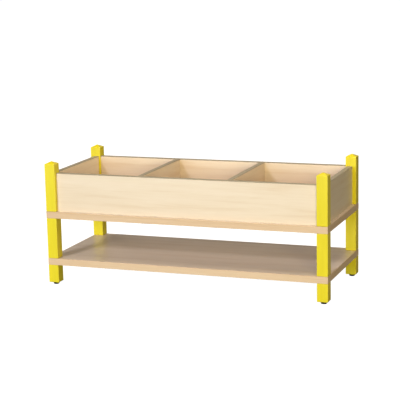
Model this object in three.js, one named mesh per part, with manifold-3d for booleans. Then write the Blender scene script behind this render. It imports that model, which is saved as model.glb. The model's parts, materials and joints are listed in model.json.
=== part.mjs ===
// A low browser bin for picture books: three open compartments over a storage shelf.
// Four square columns carry it. Each column is three posts stacked on one tie rod, with the
// corners of the lower shelf and of the bin floor clamped between them.
// Millimetres, +Z up. The origin is on the floor under the middle, and the front faces -Y.

import * as THREE from 'three';
import { mergeVertices } from 'three/addons/utils/BufferGeometryUtils.js';
import Module from 'manifold-3d';

const wasm = await Module();
wasm.setup();

// Envelope, measured over the outside faces of the posts.
const width = 1200;
const depth = 500;

// Posts: square stock with eased edges, chamfered ends and a low hipped top.
const postSide = 45;
const postEdgeRadius = 2;
const postEndChamfer = 2;
const footPostLength = 75;
const middlePostLength = 170;
const topPostLength = 198;
const hipRise = 11;

// Boards and their edge bands.
const boardThickness = 28;
const bandThickness = 2;
const bandRadius = 1.2;

// Bin walls and dividers stand on the bin floor. The inset is the step from the inner face
// of a post to the inner face of the wall beside it.
const panelThickness = 22;
const panelHeight = 160;
const panelInset = 7;
const compartments = 3;

// Housings in the long walls take the ends of the dividers and stop short of the top edge.
const housingDepth = 6;
const housingStop = 24;

// Loose tongues lock each wall to its posts, in grooves that stop short of the top edge.
const tongueThickness = 6;
const tongueDepth = 8;
const tongueStop = 40;

// Hardware on the axis of each column.
const rodRadius = 4;
const rodPastInsert = 6;
const insertRadius = 6;
const insertLength = 25;
const sleeveRadius = 6;
const sleeveLength = 46;
const flangeRadius = 10;
const flangeThickness = 2;

// Levelling glides: a rimmed foot that tapers to its neck, moulded on a stud.
const glideRadius = 12;
const glideRim = 6;
const glideTaper = 4;
const glideNeckRadius = 8.5;
const glideEdge = 1.2;
const studLength = 22;
const studToRod = 4;

// Clearances: between fitted pieces, round the rods, and the overrun of a cut past a face.
const fitGap = 0.3;
const rodGap = 0.6;
const overrun = 1;

// Facets on a full round, and on each half of an eased corner.
const roundSteps = 20;
const cornerSteps = 2;

// Levels, from the floor up.
const footBottom = glideRim + glideTaper;
const shelfBottom = footBottom + footPostLength;
const shelfTop = shelfBottom + boardThickness;
const binBottom = shelfTop + middlePostLength;
const binTop = binBottom + boardThickness;
const panelTop = binTop + panelHeight;

// Plan positions, as distances from the middle.
const columnX = (width - postSide) / 2;
const columnY = (depth - postSide) / 2;
const postInnerX = width / 2 - postSide;
const postInnerY = depth / 2 - postSide;
const wallInnerX = postInnerX + panelInset;
const wallInnerY = postInnerY + panelInset;
const wallX = wallInnerX + panelThickness / 2;
const wallY = wallInnerY + panelThickness / 2;

// Heights within the walls, from the bin floor up.
const coreHeight = panelHeight - bandThickness;
const housingHeight = panelHeight - housingStop;
const tongueHeight = panelHeight - tongueStop;

// Width of the cuts that take a tongue, and the bore that clears a rod.
const grooveWidth = tongueThickness + 2 * fitGap;
const boreRadius = rodRadius + rodGap;

const finishes = {
  yellowLacquer: { color: 0xf0d83c, roughness: 0.38, metalness: 0 },
  mapleDecor: { color: 0xf0dcb8, roughness: 0.5, metalness: 0 },
  beechBand: { color: 0xe8c79c, roughness: 0.45, metalness: 0 },
  plywood: { color: 0xcfae7c, roughness: 0.8, metalness: 0 },
  zincSteel: { color: 0xb4b6ba, roughness: 0.35, metalness: 1 },
  blackPlastic: { color: 0x17171a, roughness: 0.55, metalness: 0 },
};
const materials = {};
for (const [name, look] of Object.entries(finishes)) {
  materials[name] = new THREE.MeshStandardMaterial(look);
}

const bin = new THREE.Group();

function addPart(name, geometry, finish, parent = bin) {
  const mesh = new THREE.Mesh(geometry, materials[finish]);
  mesh.name = name;
  parent.add(mesh);
}

// Boolean helpers: a closed geometry becomes a solid, and a solid a geometry again.
function toSolid(geometry) {
  const bare = geometry.clone();
  bare.deleteAttribute('normal');
  bare.deleteAttribute('uv');
  const merged = mergeVertices(bare);
  return new wasm.Manifold(new wasm.Mesh({
    numProp: 3,
    vertProperties: new Float32Array(merged.attributes.position.array),
    triVerts: new Uint32Array(merged.index.array),
  }));
}

function toGeometry(solid) {
  const mesh = solid.getMesh();
  const geometry = new THREE.BufferGeometry();
  geometry.setAttribute('position', new THREE.BufferAttribute(mesh.vertProperties, 3));
  geometry.setIndex(new THREE.BufferAttribute(mesh.triVerts, 1));
  geometry.computeVertexNormals();
  return geometry;
}

function cut(geometry, tools) {
  const cutSolid = tools.reduce((solid, tool) => solid.subtract(toSolid(tool)), toSolid(geometry));
  return toGeometry(cutSolid);
}

function common(geometry, others) {
  const commonSolid = others.reduce((solid, other) => solid.intersect(toSolid(other)), toSolid(geometry));
  return toGeometry(commonSolid);
}

// Basic forms, each placed by its lowest level.
function block(sizeX, sizeY, sizeZ, x, y, bottom) {
  return new THREE.BoxGeometry(sizeX, sizeY, sizeZ).translate(x, y, bottom + sizeZ / 2);
}

function roundBar(radius, bottom, top) {
  const bar = new THREE.CylinderGeometry(radius, radius, top - bottom, roundSteps);
  return bar.rotateX(Math.PI / 2).translate(0, 0, (bottom + top) / 2);
}

// Turned work: the profile of [radius, height] points runs counter-clockwise.
function turned(profile) {
  const points = profile.map(([radius, height]) => new THREE.Vector2(radius, height));
  return new THREE.LatheGeometry(points, roundSteps).rotateX(Math.PI / 2);
}

// A four-sided point with its tip on the axis. It opens upwards (1) or downwards (-1).
function fourSidedPoint(tip, slope, reach, opens) {
  const half = reach / slope;
  const point = new THREE.CylinderGeometry(0, half * Math.SQRT2, reach, 4).rotateY(Math.PI / 4);
  return point.rotateX(-opens * Math.PI / 2).translate(0, 0, tip + opens * reach / 2);
}

// Posts stand with the lower end at zero. Four slopes of 45 degrees chamfer the lower end, and
// the upper end is cut to four slopes that meet at a tip on the axis.
const chamferTip = postSide / 2 - postEndChamfer;

function postStock(length, upperTip, upperSlope) {
  const inner = postSide / 2 - postEdgeRadius;
  const section = new THREE.Shape();
  section.absarc(inner, inner, postEdgeRadius, 0, Math.PI / 2);
  section.absarc(-inner, inner, postEdgeRadius, Math.PI / 2, Math.PI);
  section.absarc(-inner, -inner, postEdgeRadius, Math.PI, Math.PI * 1.5);
  section.absarc(inner, -inner, postEdgeRadius, Math.PI * 1.5, Math.PI * 2);
  const bar = new THREE.ExtrudeGeometry(section, {
    depth: length,
    curveSegments: cornerSteps,
    bevelEnabled: false,
  });
  const reach = length + postSide;
  return common(bar, [
    fourSidedPoint(upperTip, upperSlope, reach, -1),
    fourSidedPoint(-chamferTip, 1, reach, 1),
  ]);
}

function plainPost(length) {
  return postStock(length, length + chamferTip, 1);
}

function hippedPost() {
  const tip = topPostLength + hipRise;
  return postStock(tip + overrun, tip, hipRise / (postSide / 2));
}

// One column, with its hardware. The sides say which corner it stands at: -1 or 1 on X and Y.
function addColumn(name, sideX, sideY) {
  const column = new THREE.Group();
  column.position.set(sideX * columnX, sideY * columnY, 0);
  bin.add(column);

  // Each piece is made from its own lower end up, and then lifted to its level.
  const place = (piece, geometry, finish, level) => {
    addPart(`${name}_${piece}`, geometry.translate(0, 0, level), finish, column);
  };

  // The foot post takes the sleeve nut from below, with its flange let in flush.
  place('foot_post', cut(plainPost(footPostLength), [
    roundBar(boreRadius, -overrun, footPostLength + overrun),
    roundBar(sleeveRadius + fitGap, -overrun, sleeveLength + fitGap),
    roundBar(flangeRadius + fitGap, -overrun, flangeThickness),
  ]), 'yellowLacquer', footBottom);

  place('middle_post', cut(plainPost(middlePostLength), [
    roundBar(boreRadius, -overrun, middlePostLength + overrun),
  ]), 'yellowLacquer', shelfTop);

  // The top post is bored for the insert and grooved on two faces for the tongues of its walls.
  const rodInPost = insertLength + rodPastInsert;
  const wallOffset = postSide / 2 - panelInset - panelThickness / 2;
  const grooveDepth = tongueDepth + fitGap + overrun;
  const grooveMiddle = postSide / 2 + overrun - grooveDepth / 2;
  const grooveHeight = tongueHeight + fitGap + overrun;
  const acrossX = [-sideX * grooveMiddle, -sideY * wallOffset];
  const acrossY = [-sideX * wallOffset, -sideY * grooveMiddle];
  place('top_post', cut(hippedPost(), [
    roundBar(boreRadius, -overrun, rodInPost + fitGap),
    roundBar(insertRadius + fitGap, -overrun, insertLength + fitGap),
    block(grooveDepth, grooveWidth, grooveHeight, ...acrossX, -overrun),
    block(grooveWidth, grooveDepth, grooveHeight, ...acrossY, -overrun),
  ]), 'yellowLacquer', binTop);

  // The tie rod screws into the insert above and into the sleeve nut below.
  const rodBottom = footBottom + studLength + studToRod;
  const rodLength = binTop + rodInPost - rodBottom;
  place('tie_rod', roundBar(rodRadius, 0, rodLength), 'zincSteel', rodBottom);

  const threadRadius = rodRadius + fitGap;
  place('top_insert', turned([
    [threadRadius, 0],
    [insertRadius, 0],
    [insertRadius, insertLength],
    [threadRadius, insertLength],
    [threadRadius, 0],
  ]), 'zincSteel', binTop);

  place('sleeve_nut', turned([
    [threadRadius, 0],
    [flangeRadius, 0],
    [flangeRadius, flangeThickness],
    [sleeveRadius, flangeThickness],
    [sleeveRadius, sleeveLength],
    [threadRadius, sleeveLength],
    [threadRadius, 0],
  ]), 'zincSteel', footBottom);

  // The glide's stud screws into the sleeve nut until its neck stops just under the flange.
  const neckTop = footBottom - fitGap;
  const studTop = footBottom + studLength;
  place('levelling_glide', turned([
    [0, 0],
    [glideRadius - glideEdge, 0],
    [glideRadius, glideEdge],
    [glideRadius, glideRim - glideEdge],
    [glideRadius - glideEdge, glideRim],
    [glideNeckRadius, neckTop],
    [rodRadius, neckTop],
    [rodRadius, studTop],
    [0, studTop],
  ]), 'blackPlastic', 0);
}

// An edge band runs along X with its rounded outer face on the plane y = 0, facing -Y, and
// its middle line at z = 0.
function edgeBand(bandWidth, length) {
  const half = bandWidth / 2;
  const radius = Math.min(bandRadius, bandThickness);
  const section = new THREE.Shape();
  section.moveTo(-bandThickness, -half);
  section.absarc(-radius, -half + radius, radius, -Math.PI / 2, 0);
  section.absarc(-radius, half - radius, radius, 0, Math.PI / 2);
  section.lineTo(-bandThickness, half);
  const band = new THREE.ExtrudeGeometry(section, {
    depth: length,
    curveSegments: cornerSteps,
    bevelEnabled: false,
  });
  const outward = new THREE.Vector3(0, -1, 0);
  const upward = new THREE.Vector3(0, 0, 1);
  const along = new THREE.Vector3(-1, 0, 0);
  const turn = new THREE.Matrix4().makeBasis(outward, upward, along);
  return band.applyMatrix4(turn).translate(length / 2, 0, 0);
}

// A board is bored at the four columns, and its four edges carry bands.
function addBoard(name, bottom) {
  const coreX = width - 2 * bandThickness;
  const coreY = depth - 2 * bandThickness;
  const outline = new THREE.Shape();
  outline.moveTo(-coreX / 2, -coreY / 2);
  outline.lineTo(coreX / 2, -coreY / 2);
  outline.lineTo(coreX / 2, coreY / 2);
  outline.lineTo(-coreX / 2, coreY / 2);
  for (const sideX of [-1, 1]) {
    for (const sideY of [-1, 1]) {
      const bore = new THREE.Path();
      bore.absarc(sideX * columnX, sideY * columnY, boreRadius, 0, Math.PI * 2);
      outline.holes.push(bore);
    }
  }
  const core = new THREE.ExtrudeGeometry(outline, {
    depth: boardThickness,
    curveSegments: roundSteps / 2,
    bevelEnabled: false,
  });
  addPart(name, core.translate(0, 0, bottom), 'mapleDecor');

  const middle = bottom + boardThickness / 2;
  const bands = [
    ['front_edge', 0, -depth / 2, width, 0],
    ['right_edge', width / 2, 0, coreY, Math.PI / 2],
    ['back_edge', 0, depth / 2, width, Math.PI],
    ['left_edge', -width / 2, 0, coreY, -Math.PI / 2],
  ];
  for (const [edge, x, y, length, turn] of bands) {
    const band = edgeBand(boardThickness, length).rotateZ(turn);
    addPart(`${name}_${edge}`, band.translate(x, y, middle), 'beechBand');
  }
}

// The band on a wall's top edge lies flat, with its rounded face up.
function addTopBand(name, length, x, y, turn) {
  const band = edgeBand(panelThickness, length).rotateX(-Math.PI / 2).rotateZ(turn);
  addPart(`${name}_top_edge`, band.translate(x, y, panelTop), 'beechBand');
}

const bayWidth = (2 * wallInnerX - (compartments - 1) * panelThickness) / compartments;
const dividers = [];
for (let count = 1; count < compartments; count += 1) {
  dividers.push(-wallInnerX + count * (bayWidth + panelThickness) - panelThickness / 2);
}

// Sizes of a tongue, and of the groove for it in the end of a wall.
const tongueReach = 2 * (tongueDepth - fitGap);
const tongueLength = tongueHeight - fitGap;
const endGrooveDepth = 2 * (tongueDepth + fitGap);
const endGrooveHeight = tongueHeight + fitGap + overrun;

// Long walls: grooved at the ends for tongues, and housed on the inner face for dividers.
function addLongWall(name, side) {
  const y = side * wallY;
  const tools = [];
  for (const [end, way] of [['left', -1], ['right', 1]]) {
    const x = way * postInnerX;
    tools.push(block(endGrooveDepth, grooveWidth, endGrooveHeight, x, y, binTop - overrun));
    const tongue = block(tongueReach, tongueThickness, tongueLength, x, y, binTop);
    addPart(`${name}_${end}_tongue`, tongue, 'plywood');
  }
  const housingWidth = panelThickness + 2 * fitGap;
  for (const x of dividers) {
    const innerY = side * wallInnerY;
    tools.push(block(housingWidth, 2 * housingDepth, housingHeight + overrun, x, innerY, binTop - overrun));
  }
  const core = block(2 * postInnerX, panelThickness, coreHeight, 0, y, binTop);
  addPart(name, cut(core, tools), 'mapleDecor');
  addTopBand(name, 2 * postInnerX, 0, y, 0);
}

// Short walls: grooved at the ends for tongues.
function addShortWall(name, side) {
  const x = side * wallX;
  const tools = [];
  for (const [end, way] of [['front', -1], ['back', 1]]) {
    const y = way * postInnerY;
    tools.push(block(grooveWidth, endGrooveDepth, endGrooveHeight, x, y, binTop - overrun));
    const tongue = block(tongueThickness, tongueReach, tongueLength, x, y, binTop);
    addPart(`${name}_${end}_tongue`, tongue, 'plywood');
  }
  const core = block(panelThickness, 2 * postInnerY, coreHeight, x, 0, binTop);
  addPart(name, cut(core, tools), 'mapleDecor');
  addTopBand(name, 2 * postInnerY, x, 0, Math.PI / 2);
}

// The lower part of a divider runs into the housings. Its top corners stop at the wall faces.
function addDivider(name, x) {
  const housed = wallInnerY + housingDepth - fitGap;
  const shoulder = housingHeight - fitGap;
  const outline = new THREE.Shape();
  outline.moveTo(-housed, 0);
  outline.lineTo(housed, 0);
  outline.lineTo(housed, shoulder);
  outline.lineTo(wallInnerY, shoulder);
  outline.lineTo(wallInnerY, coreHeight);
  outline.lineTo(-wallInnerY, coreHeight);
  outline.lineTo(-wallInnerY, shoulder);
  outline.lineTo(-housed, shoulder);
  const core = new THREE.ExtrudeGeometry(outline, { depth: panelThickness, bevelEnabled: false });
  core.rotateX(Math.PI / 2).rotateZ(Math.PI / 2);
  addPart(name, core.translate(x - panelThickness / 2, 0, binTop), 'mapleDecor');
  addTopBand(name, 2 * wallInnerY, x, 0, Math.PI / 2);
}

addBoard('lower_shelf', shelfBottom);
addBoard('bin_floor', binBottom);
addColumn('front_left', -1, -1);
addColumn('front_right', 1, -1);
addColumn('back_left', -1, 1);
addColumn('back_right', 1, 1);
addLongWall('front_panel', -1);
addLongWall('back_panel', 1);
addShortWall('left_panel', -1);
addShortWall('right_panel', 1);
const dividerNames = ['left_divider', 'right_divider'];
dividers.forEach((x, index) => addDivider(dividerNames[index] ?? `divider_${index + 1}`, x));

export default bin;
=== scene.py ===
import json
import math

import bmesh
import bpy
from mathutils import Matrix, Vector

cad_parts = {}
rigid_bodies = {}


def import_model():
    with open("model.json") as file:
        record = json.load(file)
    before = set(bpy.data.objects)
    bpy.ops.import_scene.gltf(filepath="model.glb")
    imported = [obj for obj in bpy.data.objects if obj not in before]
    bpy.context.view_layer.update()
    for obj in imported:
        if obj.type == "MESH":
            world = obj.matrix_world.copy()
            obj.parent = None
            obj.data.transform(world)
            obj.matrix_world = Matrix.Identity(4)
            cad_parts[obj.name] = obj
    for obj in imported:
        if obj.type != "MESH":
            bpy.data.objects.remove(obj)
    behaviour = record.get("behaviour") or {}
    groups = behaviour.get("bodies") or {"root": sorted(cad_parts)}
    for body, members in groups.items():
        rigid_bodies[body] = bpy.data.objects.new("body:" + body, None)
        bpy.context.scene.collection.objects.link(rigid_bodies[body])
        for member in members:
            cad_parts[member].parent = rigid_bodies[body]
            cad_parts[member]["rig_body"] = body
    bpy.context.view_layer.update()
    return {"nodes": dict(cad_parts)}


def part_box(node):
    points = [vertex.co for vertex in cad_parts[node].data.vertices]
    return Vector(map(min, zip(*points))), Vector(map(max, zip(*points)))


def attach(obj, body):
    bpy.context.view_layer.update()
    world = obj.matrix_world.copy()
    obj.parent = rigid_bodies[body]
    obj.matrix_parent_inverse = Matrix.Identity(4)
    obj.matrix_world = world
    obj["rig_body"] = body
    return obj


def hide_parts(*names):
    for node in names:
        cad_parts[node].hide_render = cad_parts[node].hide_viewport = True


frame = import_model()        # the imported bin, in metres
cornerNames = ("front_left", "front_right", "back_left", "back_right")
print("frame loaded:", len(frame["nodes"]), "nodes")


# camera at the photo's angle
cameraView = {
    "place": (1.911069, -5.17459, 1.429035),
    "yaw": -20.398,       # degrees, to the left of straight at the front
    "pitch": 11.163,      # degrees down
    "roll": -1.243,
    "lens": 121.888,      # mm
    "sensor": 36.0,       # mm across
    "farClip": 200.0,
}


def addCamera(view):
    data = bpy.data.cameras.new("photoCamera")
    data.lens = view["lens"]
    data.sensor_width = view["sensor"]
    data.clip_end = view["farClip"]
    camera = bpy.data.objects.new("photoCamera", data)
    turn = Matrix.Rotation(-math.radians(view["yaw"]), 4, "Z")
    tilt = Matrix.Rotation(math.radians(90 - view["pitch"]), 4, "X")      # up from straight down
    lean = Matrix.Rotation(math.radians(view["roll"]), 4, "Z")
    camera.matrix_world = Matrix.Translation(view["place"]) @ turn @ tilt @ lean
    bpy.context.scene.collection.objects.link(camera)
    bpy.context.scene.camera = camera


addCamera(cameraView)
bpy.context.scene.view_settings.view_transform = "Standard"
print("camera set")


# small helpers for node trees
nodeSpacing = 220        # from node to node in the editor


def addNode(tree, kind, **settings):
    node = tree.nodes.new(kind)
    node.location = (nodeSpacing * len(tree.nodes), 0)
    for key, value in settings.items():
        setattr(node, key, value)
    return node


def join(tree, output, target):
    tree.links.new(output, target)


def feed(tree, target, value):
    if isinstance(value, bpy.types.NodeSocket):
        join(tree, value, target)
    else:
        target.default_value = value


def setInputs(node, values):
    for name, value in values.items():
        node.inputs[name].default_value = value


def opaque(colour):
    return (*colour, 1.0)


def colourRamp(tree, value, stops):
    node = addNode(tree, "ShaderNodeValToRGB")
    elements = node.color_ramp.elements
    while len(elements) < len(stops):
        elements.new(0.5)        # moved to its place below
    for element, (place, colour) in zip(elements, stops):
        element.position = place
        element.color = opaque(colour)
    join(tree, value, node.inputs["Fac"])
    return node.outputs["Color"]


def mapRange(tree, value, source=(0.0, 1.0), target=(0.0, 1.0)):
    node = addNode(tree, "ShaderNodeMapRange")
    names = ("From Min", "From Max", "To Min", "To Max")
    setInputs(node, dict(zip(names, (*source, *target))))
    join(tree, value, node.inputs["Value"])
    return node.outputs["Result"]


def mathNode(tree, operation, *values):
    node = addNode(tree, "ShaderNodeMath", operation=operation)
    for target, value in zip(node.inputs, values):
        feed(tree, target, value)
    return node.outputs[0]


mixSockets = {"FLOAT": (2, 3, 0), "RGBA": (6, 7, 2)}        # where a Mix node keeps A, B and the result


def mix(tree, kind, share, first, second, blend="MIX"):
    node = addNode(tree, "ShaderNodeMix", data_type=kind, blend_type=blend)
    firstAt, secondAt, resultAt = mixSockets[kind]
    feed(tree, node.inputs[0], share)
    feed(tree, node.inputs[firstAt], first)
    feed(tree, node.inputs[secondAt], second)
    return node.outputs[resultAt]


# a material with its shader, and the values that are the same all over the surface
def newMaterial(name, gloss):
    material = bpy.data.materials.new(name)
    material.use_nodes = True
    tree = material.node_tree
    tree.nodes.clear()
    shader = addNode(tree, "ShaderNodeBsdfPrincipled")
    setInputs(shader, gloss)
    output = addNode(tree, "ShaderNodeOutputMaterial")
    join(tree, shader.outputs["BSDF"], output.inputs["Surface"])
    return material, tree, shader


# stage: a pale floor and a surround, both white to the eye and greyer as a light source
stageLook = {
    "floorSide": 120.0,
    "floorColour": (0.30, 0.287, 0.26),       # what the floor throws back on the bin
    "gloss": {"Roughness": 0.9, "Specular IOR Level": 0.1},
    "paper": (1.0, 1.0, 1.0),                 # what the eye sees of both
    "wall": (                                 # by direction: dark in front and beside the bin, pale behind
        (0.35, (0.0, 0.0, 0.0)),
        (0.9, (0.40, 0.36, 0.35)),
    ),
}


def addFloor(look):
    half = look["floorSide"] / 2
    mesh = bpy.data.meshes.new("floor")
    corners = [(-half, -half, 0), (half, -half, 0), (half, half, 0), (-half, half, 0)]
    mesh.from_pydata(corners, [], [(0, 1, 2, 3)])
    floor = bpy.data.objects.new("floor", mesh)
    bpy.context.scene.collection.objects.link(floor)
    material, tree, shader = newMaterial("paleFloor", look["gloss"])
    shader.inputs["Base Color"].default_value = opaque(look["floorColour"])
    shader.inputs["Emission Color"].default_value = opaque(look["paper"])
    path = addNode(tree, "ShaderNodeLightPath")
    join(tree, path.outputs["Is Camera Ray"], shader.inputs["Emission Strength"])
    mesh.materials.append(material)


def setSurround(look):
    world = bpy.data.worlds.new("surround")
    world.use_nodes = True
    bpy.context.scene.world = world
    tree = world.node_tree
    tree.nodes.clear()
    direction = addNode(tree, "ShaderNodeTexCoord")
    split = addNode(tree, "ShaderNodeSeparateXYZ")
    join(tree, direction.outputs["Generated"], split.inputs[0])
    glow = addNode(tree, "ShaderNodeBackground")
    join(tree, colourRamp(tree, split.outputs["Y"], look["wall"]), glow.inputs["Color"])
    paper = addNode(tree, "ShaderNodeBackground")
    paper.inputs["Color"].default_value = opaque(look["paper"])
    path = addNode(tree, "ShaderNodeLightPath")
    shown = addNode(tree, "ShaderNodeMixShader")
    sources = (path.outputs["Is Camera Ray"], glow.outputs[0], paper.outputs[0])
    for source, target in zip(sources, shown.inputs):
        join(tree, source, target)
    end = addNode(tree, "ShaderNodeOutputWorld")
    join(tree, shown.outputs[0], end.inputs["Surface"])


# soft boxes: place and aim in metres, size across, power in watts
binMiddle = (0, 0, 0.3)
softBoxes = {
    "keyBox": {"place": (-1.9, -5.7, 0.9), "aim": binMiddle, "size": (1.7, 1.1), "power": 126,
               "colour": (0.75, 0.89, 1.0)},
    "frontBox": {"place": (-3.2, -8.9, 6.0), "aim": binMiddle, "size": (1.8, 1.6), "power": 513,
                 "colour": (0.89, 0.875, 1.0)},
    "fillBox": {"place": (5.1, -9.6, 2.0), "aim": binMiddle, "size": (3.6, 2.2), "power": 590,
                "colour": (1.0, 0.96, 0.62)},
    "topBox": {"place": (1.05, -0.9, 3.2), "aim": (0.5, 0, 0.3), "size": (0.7, 1.2), "power": 30,
               "colour": (1.0, 0.85, 0.72)},
    "innerBox": {"place": (0, 0, 2.4), "aim": (0, 0, 0), "size": (1.0, 0.4), "power": 19,
                 "colour": (1.0, 0.92, 0.72)},
    "backBox": {"place": (-7.6, 4.9, 1.5), "aim": binMiddle, "size": (4.4, 2.4), "power": 470,
                "colour": (1.0, 0.98, 0.95)},
}


def addSoftBox(name, box):
    data = bpy.data.lights.new(name, "AREA")
    data.shape = "RECTANGLE"
    data.size, data.size_y = box["size"]
    data.energy = box["power"]
    data.color = box["colour"]
    lamp = bpy.data.objects.new(name, data)
    place = Vector(box["place"])
    turn = (Vector(box["aim"]) - place).to_track_quat("-Z", "Y")
    lamp.matrix_world = Matrix.Translation(place) @ turn.to_matrix().to_4x4()
    bpy.context.scene.collection.objects.link(lamp)


addFloor(stageLook)
setSurround(stageLook)
for boxName, box in softBoxes.items():
    addSoftBox(boxName, box)
print("floor, surround and", len(softBoxes), "soft boxes set")


# shader groups: noises from the piece's own coordinates, each spread from its range to 0 and 1
grainNoises = {                               # figure of wood
    "Streak": {"noise": {"Detail": 4.0, "Roughness": 0.62, "Distortion": 0.35}, "range": (0.3, 0.7)},
    "Fleck": {"noise": {"Detail": 2.0, "Roughness": 0.5, "Distortion": 0.2}, "range": (0.3, 0.7)},
    "Cloud": {"noise": {"Detail": 2.0, "Roughness": 0.5, "Distortion": 0.6}, "range": (0.3, 0.7)},
}
toothNoises = {                               # fine surface tooth and soft handling marks
    "Tooth": {"noise": {"Detail": 1.0}, "range": (0.0, 1.0)},
    "Smear": {"noise": {"Detail": 3.0}, "range": (0.0, 1.0)},
}


def makeNoiseGroup(name, noises):
    group = bpy.data.node_groups.new(name, "ShaderNodeTree")
    face = group.interface
    face.new_socket("Place", in_out="INPUT", socket_type="NodeSocketVector")
    for noiseName in noises:
        face.new_socket(noiseName + " Scale", in_out="INPUT", socket_type="NodeSocketFloat")
        face.new_socket(noiseName, in_out="OUTPUT", socket_type="NodeSocketFloat")
    start = addNode(group, "NodeGroupInput")
    end = addNode(group, "NodeGroupOutput")
    for noiseName, work in noises.items():
        noise = addNode(group, "ShaderNodeTexNoise")
        setInputs(noise, work["noise"])
        join(group, start.outputs["Place"], noise.inputs["Vector"])
        join(group, start.outputs[noiseName + " Scale"], noise.inputs["Scale"])
        spread = mapRange(group, noise.outputs["Fac"], source=work["range"])
        join(group, spread, end.inputs[noiseName])
    return group


grainGroup = makeNoiseGroup("woodFigure", grainNoises)
toothGroup = makeNoiseGroup("surfaceTooth", toothNoises)


def useGroup(tree, group, place, scales):
    node = addNode(tree, "ShaderNodeGroup", node_tree=group)
    setInputs(node, scales)
    join(tree, place, node.inputs["Place"])
    return node.outputs


def objectPlace(tree, scale=(1, 1, 1)):
    source = addNode(tree, "ShaderNodeTexCoord")
    mapping = addNode(tree, "ShaderNodeMapping")
    mapping.inputs["Scale"].default_value = scale
    join(tree, source.outputs["Object"], mapping.inputs["Vector"])
    return mapping.outputs["Vector"]


# texture scale for a piece whose grain runs along X or along Y
def grainScale(look, axis):
    along, across = look["stretch"]
    return (along, across, across) if axis == "X" else (across, along, across)


# tooth and handling marks, which set the roughness of every finish
def addTooth(tree, shader, look):
    tooth = useGroup(tree, toothGroup, objectPlace(tree), look["tooth"])
    join(tree, mapRange(tree, tooth["Smear"], target=look["roughness"]), shader.inputs["Roughness"])
    return tooth


def addBump(tree, shader, height, look):
    bump = addNode(tree, "ShaderNodeBump")
    setInputs(bump, look["bump"])
    join(tree, height, bump.inputs["Height"])
    join(tree, bump.outputs["Normal"], shader.inputs["Normal"])


# colour of streaks and clouds together
def streakColour(tree, figure, look):
    blended = mix(tree, "FLOAT", look["cloudShare"], figure["Streak"], figure["Cloud"])
    return colourRamp(tree, blended, look["streaks"])


mapleLook = {
    "stretch": (2.2, 38.0),                   # waves per metre along the grain and across it
    "figure": {"Streak Scale": 1.0, "Fleck Scale": 7.0, "Cloud Scale": 0.35},
    "streaks": (
        (0.1, (0.778, 0.656, 0.514)),
        (0.6, (0.758, 0.631, 0.482)),
        (1.0, (0.711, 0.568, 0.411)),
    ),
    "tint": (0.94, 0.90, 0.86),               # of clouds and flecks
    "tintDepth": {"Cloud": 0.55, "Fleck": 0.35},
    "tooth": {"Tooth Scale": 900.0, "Smear Scale": 7.0},
    "roughness": (0.26, 0.38),
    "toothShare": 0.6,                        # of the relief, the rest is grain
    "bump": {"Strength": 0.12, "Distance": 0.0003},
    "gloss": {"Specular IOR Level": 0.45},
}


def makeMaple(name, axis, look):
    material, tree, shader = newMaterial(name, look["gloss"])
    figure = useGroup(tree, grainGroup, objectPlace(tree, grainScale(look, axis)), look["figure"])
    wood = colourRamp(tree, figure["Streak"], look["streaks"])
    for mark, depth in look["tintDepth"].items():
        share = mapRange(tree, figure[mark], target=(0.0, depth))
        wood = mix(tree, "RGBA", share, wood, opaque(look["tint"]), "MULTIPLY")
    join(tree, wood, shader.inputs["Base Color"])
    tooth = addTooth(tree, shader, look)
    relief = mix(tree, "FLOAT", look["toothShare"], figure["Streak"], tooth["Tooth"])
    addBump(tree, shader, relief, look)
    return material


bandLook = {
    "stretch": (5.0, 260.0),
    "figure": {"Streak Scale": 1.0, "Fleck Scale": 3.0, "Cloud Scale": 0.1},
    "cloudShare": 0.5,
    "streaks": (
        (0.0, (0.722, 0.541, 0.363)),
        (0.55, (0.662, 0.465, 0.289)),
        (1.0, (0.574, 0.375, 0.213)),
    ),
    "tooth": {"Tooth Scale": 1100.0, "Smear Scale": 12.0},
    "roughness": (0.38, 0.5),
    "toothShare": 0.4,
    "bump": {"Strength": 0.15, "Distance": 0.0003},
    "gloss": {"Specular IOR Level": 0.45},
}
shadedWallTopLook = {                               # the same band painted darker and greyer: painted shade, since top faces take less light than the fronts
    **bandLook,
    "streaks": (
        (0.0, (0.368, 0.314, 0.21)),
        (0.55, (0.34, 0.282, 0.181)),
        (1.0, (0.294, 0.237, 0.143)),
    ),
    "roughness": (0.42, 0.54),
}


def makeBand(name, axis, look):
    material, tree, shader = newMaterial(name, look["gloss"])
    figure = useGroup(tree, grainGroup, objectPlace(tree, grainScale(look, axis)), look["figure"])
    join(tree, streakColour(tree, figure, look), shader.inputs["Base Color"])
    tooth = addTooth(tree, shader, look)
    relief = mix(tree, "FLOAT", look["toothShare"], figure["Fleck"], tooth["Tooth"])
    addBump(tree, shader, relief, look)
    return material


lacquerLook = {
    "stretch": (46.0, 46.0, 3.0),             # timber under the lacquer runs up the post
    "figure": {"Streak Scale": 1.0, "Cloud Scale": 0.3},
    "cloudShare": 0.5,
    "streaks": (
        (0.0, (0.789, 0.654, 0.017)),
        (1.0, (0.688, 0.562, 0.009)),
    ),
    "paleArris": (0.822, 0.708, 0.082),          # paler yellow on the eased arrises, in patches that follow the smear noise
    "tooth": {"Tooth Scale": 420.0, "Smear Scale": 16.0},
    "roughness": (0.30, 0.42),
    "toothShare": 0.55,
    "bump": {"Strength": 0.10, "Distance": 0.0004},
    "gloss": {"Specular IOR Level": 0.35, "Coat Weight": 0.08, "Coat Roughness": 0.25},
}


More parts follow.
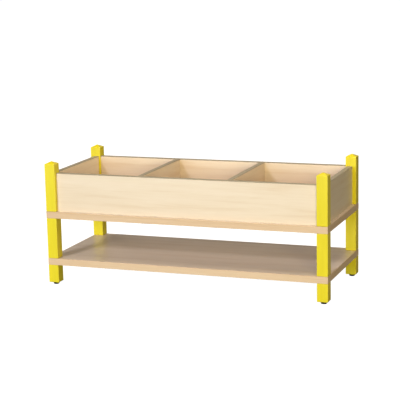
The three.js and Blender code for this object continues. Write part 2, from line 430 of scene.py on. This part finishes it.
def makeLacquer(name, look):
    material, tree, shader = newMaterial(name, look["gloss"])
    figure = useGroup(tree, grainGroup, objectPlace(tree, look["stretch"]), look["figure"])
    tooth = addTooth(tree, shader, look)
    # eased arrises are mixed toward the paler yellow as far as the smear noise reaches
    easedArris = addNode(tree, "ShaderNodeAttribute", attribute_name="easedArris")
    patch = mathNode(tree, "MULTIPLY", easedArris.outputs["Fac"], tooth["Smear"])
    yellow = mix(tree, "RGBA", patch, streakColour(tree, figure, look), opaque(look["paleArris"]))
    join(tree, yellow, shader.inputs["Base Color"])
    relief = mix(tree, "FLOAT", look["toothShare"], figure["Streak"], tooth["Tooth"])
    addBump(tree, shader, relief, look)
    return material


plasticLook = {
    "smears": ((0.45, (0.008, 0.008, 0.008)), (0.75, (0.026, 0.026, 0.027))),      # body and scuffs
    "tooth": {"Tooth Scale": 1500.0, "Smear Scale": 120.0},
    "roughness": (0.45, 0.62),
    "bump": {"Strength": 0.2, "Distance": 0.0002},
    "gloss": {"Specular IOR Level": 0.3},
}
zincLook = {
    "smears": ((0.35, (0.62, 0.63, 0.65)), (0.7, (0.42, 0.43, 0.46))),             # bright and dull plate
    "tooth": {"Tooth Scale": 1800.0, "Smear Scale": 140.0},
    "roughness": (0.28, 0.45),
    "bump": {"Strength": 0.1, "Distance": 0.0002},
    "gloss": {"Metallic": 0.95},
}


# moulded plastic and plated steel: two tones that follow the handling marks
def makeSmeared(name, look):
    material, tree, shader = newMaterial(name, look["gloss"])
    tooth = addTooth(tree, shader, look)
    join(tree, colourRamp(tree, tooth["Smear"], look["smears"]), shader.inputs["Base Color"])
    addBump(tree, shader, tooth["Tooth"], look)
    return material


plyLook = {
    "waves": {"Scale": 33.333, "Distortion": 1.5},
    "layers": ((0.3, (0.66, 0.47, 0.28)), (0.7, (0.42, 0.26, 0.13))),
    "tooth": {"Tooth Scale": 600.0, "Smear Scale": 30.0},
    "roughness": (0.6, 0.8),
    "bump": {"Strength": 0.25, "Distance": 0.0004},
    "gloss": {"Specular IOR Level": 0.5},
}


def makePly(name, look):
    material, tree, shader = newMaterial(name, look["gloss"])
    waves = addNode(tree, "ShaderNodeTexWave", wave_type="BANDS", bands_direction="DIAGONAL")
    setInputs(waves, look["waves"])
    join(tree, objectPlace(tree), waves.inputs["Vector"])
    join(tree, colourRamp(tree, waves.outputs["Fac"], look["layers"]), shader.inputs["Base Color"])
    tooth = addTooth(tree, shader, look)
    addBump(tree, shader, tooth["Tooth"], look)
    return material


finishes = {
    "lacquer": makeLacquer("yellowLacquer", lacquerLook),
    "plastic": makeSmeared("blackPlastic", plasticLook),
    "zinc": makeSmeared("zincSteel", zincLook),
    "ply": makePly("tonguePly", plyLook),
}
for axis in ("X", "Y"):
    finishes["mapleAlong" + axis] = makeMaple("mapleAlong" + axis, axis, mapleLook)
    finishes["bandAlong" + axis] = makeBand("bandAlong" + axis, axis, bandLook)
    finishes["wallTopAlong" + axis] = makeBand("wallTopAlong" + axis, axis, shadedWallTopLook)
print("finishes:", ", ".join(finishes))


# pieces
weldGap = 1e-6                         # points nearer than this are one
outerSlack = 1e-5                      # how far a point may stand out of an outer face
flatAngle = math.radians(0.5)          # triangles this close to one plane are one face
roundProfile = 0.5                     # bevel shape of an eased arris


def addPiece(node, mesh):
    piece = bpy.data.objects.new(node + "_dressed", mesh)
    bpy.context.scene.collection.objects.link(piece)
    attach(piece, frame["nodes"][node]["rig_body"])
    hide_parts(node)


# faces with the whole piece behind them
def outerFaces(bm):
    points = [vertex.co for vertex in bm.verts]
    found = set()
    for face in bm.faces:
        reach = max((point - face.verts[0].co).dot(face.normal) for point in points)
        if reach < outerSlack:
            found.add(face)
    return found


# a worked piece: the CAD solid with its outside arrises eased, bores and grooves left as cut
def easedMesh(node, work):
    source = frame["nodes"][node].data
    mesh = bpy.data.meshes.new(node + "_dressed")
    mesh.from_pydata([v.co for v in source.vertices], [], [tuple(p.vertices) for p in source.polygons])
    bm = bmesh.new()
    bm.from_mesh(mesh)
    bmesh.ops.remove_doubles(bm, verts=bm.verts, dist=weldGap)
    bmesh.ops.dissolve_limit(bm, angle_limit=flatAngle, verts=bm.verts, edges=bm.edges)
    bm.normal_update()
    outside = outerFaces(bm)
    arrises = []
    for edge in bm.edges:
        onOutside = len(edge.link_faces) == 2 and all(face in outside for face in edge.link_faces)
        if onOutside and edge.calc_face_angle(0) > math.radians(work["minAngle"]):
            arrises.append(edge)
    # marks the eased arris faces, where the lacquer turns paler
    easedArris = bm.faces.layers.float.new("easedArris")
    eased = bmesh.ops.bevel(bm, geom=arrises, offset=work["width"], segments=work["segments"],
                            profile=roundProfile, affect="EDGES", clamp_overlap=True)
    for face in eased["faces"]:
        face.smooth = True
        face[easedArris] = 1.0
    bmesh.ops.recalc_face_normals(bm, faces=bm.faces)
    bm.to_mesh(mesh)
    bm.free()
    return mesh


def easeAll(nodes, finish, work):
    for node in nodes:
        mesh = easedMesh(node, work)
        mesh.materials.append(finishes[finish])
        addPiece(node, mesh)


# arrises: width in metres, and the angle in degrees from which an edge counts as one
postWork = {"width": 0.0007, "segments": 3, "minAngle": 15.0}
boardWork = {"width": 0.0004, "segments": 2, "minAngle": 15.0}
bandWork = {"width": 0.0004, "segments": 3, "minAngle": 15.0}

posts = [f"{corner}_{part}_post" for corner in cornerNames for part in ("foot", "middle", "top")]
easeAll(posts, "lacquer", postWork)
print("posts:", len(posts))

boards = ["lower_shelf", "bin_floor"]
longWalls = ["front_panel", "back_panel"]
shortWalls = ["left_panel", "right_panel", "left_divider", "right_divider"]
easeAll(boards + longWalls, "mapleAlongX", boardWork)
easeAll(shortWalls, "mapleAlongY", boardWork)

longBands = [f"{board}_{side}_edge" for board in boards for side in ("front", "back")]
shortBands = [f"{board}_{side}_edge" for board in boards for side in ("left", "right")]
longTops = [f"{wall}_top_edge" for wall in longWalls]
shortTops = [f"{wall}_top_edge" for wall in shortWalls]
easeAll(longBands, "bandAlongX", bandWork)
easeAll(shortBands, "bandAlongY", bandWork)
# wall tops take the band darkened with painted shade
easeAll(longTops, "wallTopAlongX", bandWork)
easeAll(shortTops, "wallTopAlongY", bandWork)
print("boards, walls, dividers and", len(longBands + shortBands + longTops + shortTops), "bands")


# geometry nodes: a threaded bar, its surface worked out from pitch, depth and length
threadWork = {
    "pitch": 0.00125,
    "depth": 0.0007,
    "stepsRound": 18,
    "rowsPerTurn": 4,
}
gridHalf = 0.5           # a new grid runs from -0.5 to 0.5 both ways


def makeThreadTree():
    tree = bpy.data.node_groups.new("threadedBar", "GeometryNodeTree")
    face = tree.interface
    for name in ("Radius", "Depth", "Pitch", "Length"):
        face.new_socket(name, in_out="INPUT", socket_type="NodeSocketFloat")
    for name in ("Steps Round", "Rows"):
        face.new_socket(name, in_out="INPUT", socket_type="NodeSocketInt")
    face.new_socket("Finish", in_out="INPUT", socket_type="NodeSocketMaterial")
    face.new_socket("Bar", in_out="OUTPUT", socket_type="NodeSocketGeometry")
    given = addNode(tree, "NodeGroupInput").outputs

    def calc(operation, *values):
        return mathNode(tree, operation, *values)

    grid = addNode(tree, "GeometryNodeMeshGrid")
    join(tree, calc("ADD", given["Steps Round"], 1), grid.inputs["Vertices X"])
    join(tree, given["Rows"], grid.inputs["Vertices Y"])
    place = addNode(tree, "GeometryNodeInputPosition")
    flat = addNode(tree, "ShaderNodeSeparateXYZ")
    join(tree, place.outputs[0], flat.inputs[0])
    turn = calc("ADD", flat.outputs["X"], gridHalf)         # 0 to 1 round the bar
    share = calc("ADD", flat.outputs["Y"], gridHalf)        # 0 to 1 along it
    height = calc("MULTIPLY", share, given["Length"])
    # one ridge for each pitch, drawn round as a helix
    turns = calc("DIVIDE", height, given["Pitch"])
    phase = calc("FRACT", calc("SUBTRACT", turns, turn))
    slope = calc("SUBTRACT", calc("MULTIPLY", phase, 2.0), 1.0)        # -1 to 1 in each pitch
    sink = calc("MULTIPLY", calc("ABSOLUTE", slope), given["Depth"])
    ridge = calc("SUBTRACT", given["Radius"], sink)
    # both ends are chamfered, and the end rows close on the axis
    root = calc("SUBTRACT", given["Radius"], given["Depth"])
    fromTop = calc("SUBTRACT", given["Length"], height)
    nearest = calc("MINIMUM", height, fromTop)
    chamfer = calc("ADD", root, nearest)
    radius = calc("MINIMUM", ridge, chamfer)
    inside = calc("GREATER_THAN", nearest, weldGap)
    reach = calc("MULTIPLY", radius, inside)
    angle = calc("MULTIPLY", turn, math.tau)
    across = calc("MULTIPLY", reach, calc("COSINE", angle))
    along = calc("MULTIPLY", reach, calc("SINE", angle))
    point = addNode(tree, "ShaderNodeCombineXYZ")
    for target, value in zip(point.inputs, (across, along, height)):
        join(tree, value, target)
    moved = addNode(tree, "GeometryNodeSetPosition")
    join(tree, grid.outputs["Mesh"], moved.inputs["Geometry"])
    join(tree, point.outputs[0], moved.inputs["Position"])
    welded = addNode(tree, "GeometryNodeMergeByDistance")
    welded.inputs["Distance"].default_value = weldGap
    join(tree, moved.outputs["Geometry"], welded.inputs["Geometry"])
    real = addNode(tree, "GeometryNodeRealizeInstances")
    join(tree, welded.outputs["Geometry"], real.inputs["Geometry"])
    finish = addNode(tree, "GeometryNodeSetMaterial")
    join(tree, real.outputs["Geometry"], finish.inputs["Geometry"])
    join(tree, given["Finish"], finish.inputs["Material"])
    end = addNode(tree, "NodeGroupOutput")
    join(tree, finish.outputs["Geometry"], end.inputs["Bar"])
    return tree


threadTree = makeThreadTree()


def threadedBar(name, radius, length, foot, work):
    maker = bpy.data.objects.new(name + "_maker", bpy.data.meshes.new(name + "_maker"))
    bpy.context.scene.collection.objects.link(maker)
    modifier = maker.modifiers.new("threadedBar", "NODES")
    modifier.node_group = threadTree
    rows = 1 + work["rowsPerTurn"] * math.ceil(length / work["pitch"])
    values = {"Radius": radius, "Depth": work["depth"], "Pitch": work["pitch"], "Length": length,
              "Steps Round": work["stepsRound"], "Rows": rows, "Finish": finishes["zinc"]}
    for item in threadTree.interface.items_tree:
        if item.in_out == "INPUT":
            modifier[item.identifier] = values[item.name]
    shown = maker.evaluated_get(bpy.context.evaluated_depsgraph_get())
    mesh = bpy.data.meshes.new_from_object(shown)
    mesh.name = name
    maker.modifiers.clear()
    bpy.data.objects.remove(maker)
    mesh.transform(Matrix.Translation(foot))
    bm = bmesh.new()
    bm.from_mesh(mesh)
    bmesh.ops.recalc_face_normals(bm, faces=bm.faces)
    bm.to_mesh(mesh)
    bm.free()
    return mesh


# foot of the axis, radius and length of a round upright piece
def roundSize(node):
    low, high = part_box(node)
    foot = Vector(((low.x + high.x) / 2, (low.y + high.y) / 2, low.z))
    return foot, (high.x - low.x) / 2, high.z - low.z


for corner in cornerNames:
    node = corner + "_tie_rod"
    foot, radius, length = roundSize(node)
    rod = threadedBar(node + "_dressed", radius, length, foot, threadWork)
    addPiece(node, rod)
print("tie rods threaded")


# levelling glide: turned plastic foot on a threaded stud
glideWork = {
    "rim": 0.006,             # height of the straight rim, then the taper up to the neck
    "height": 0.010,
    "neckRadius": 0.0085,
    "edge": 0.0012,           # round at the top of the rim
    "heel": 0.0028,           # rounder edge that meets the floor
    "studRadius": 0.004,
    "stepsRound": 48,
    "edgeSteps": 4,
    "flatNormal": 0.99,       # faces that look this squarely up or down are shaded flat
    "finishes": ("plastic", "zinc"),          # of the foot and of the stud
}


def quarterArc(across, up, radius, start, steps):
    turns = [start + math.pi / 2 * step / steps for step in range(steps + 1)]
    return [(across + radius * math.cos(turn), up + radius * math.sin(turn)) for turn in turns]


def glideProfile(radius, work):
    edge, heel, steps = work["edge"], work["heel"], work["edgeSteps"]
    points = [(0.0, 0.0)]
    points += quarterArc(radius - heel, heel, heel, -math.pi / 2, steps)
    points += quarterArc(radius - edge, work["rim"] - edge, edge, 0.0, steps)
    points += [(work["neckRadius"], work["height"]), (0.0, work["height"])]
    return points


def glideMesh(node, work):
    foot, radius, length = roundSize(node)
    bm = bmesh.new()
    outline = [bm.verts.new((across, 0, up)) for across, up in glideProfile(radius, work)]
    edges = [bm.edges.new(pair) for pair in zip(outline, outline[1:])]
    bmesh.ops.spin(bm, geom=outline + edges, axis=(0, 0, 1), cent=(0, 0, 0), angle=math.tau,
                   steps=work["stepsRound"], use_merge=True)
    bmesh.ops.remove_doubles(bm, verts=bm.verts, dist=weldGap)
    bmesh.ops.recalc_face_normals(bm, faces=bm.faces)
    for face in bm.faces:
        face.smooth = abs(face.normal.z) < work["flatNormal"]
    bmesh.ops.translate(bm, verts=bm.verts, vec=foot)
    turned = len(bm.faces)
    studFoot = foot + Vector((0, 0, work["height"]))
    stud = threadedBar(node + "_stud", work["studRadius"], length - work["height"], studFoot, threadWork)
    bm.from_mesh(stud)
    bm.faces.ensure_lookup_table()
    for face in bm.faces[turned:]:
        face.material_index = work["finishes"].index("zinc")
    mesh = bpy.data.meshes.new(node + "_dressed")
    bm.to_mesh(mesh)
    bm.free()
    for finish in work["finishes"]:
        mesh.materials.append(finishes[finish])
    return mesh


for corner in cornerNames:
    node = corner + "_levelling_glide"
    addPiece(node, glideMesh(node, glideWork))
print("glides turned and threaded")


# fittings that keep their CAD form: inserts and sleeve nuts in the columns, loose tongues in the posts
def finishNode(node, finish):
    mesh = frame["nodes"][node].data
    mesh.materials.clear()
    mesh.materials.append(finishes[finish])


for node in frame["nodes"]:
    if node.endswith(("_top_insert", "_sleeve_nut")):
        finishNode(node, "zinc")
    elif node.endswith("_tongue"):
        finishNode(node, "ply")
print("inserts, sleeve nuts and tongues finished")
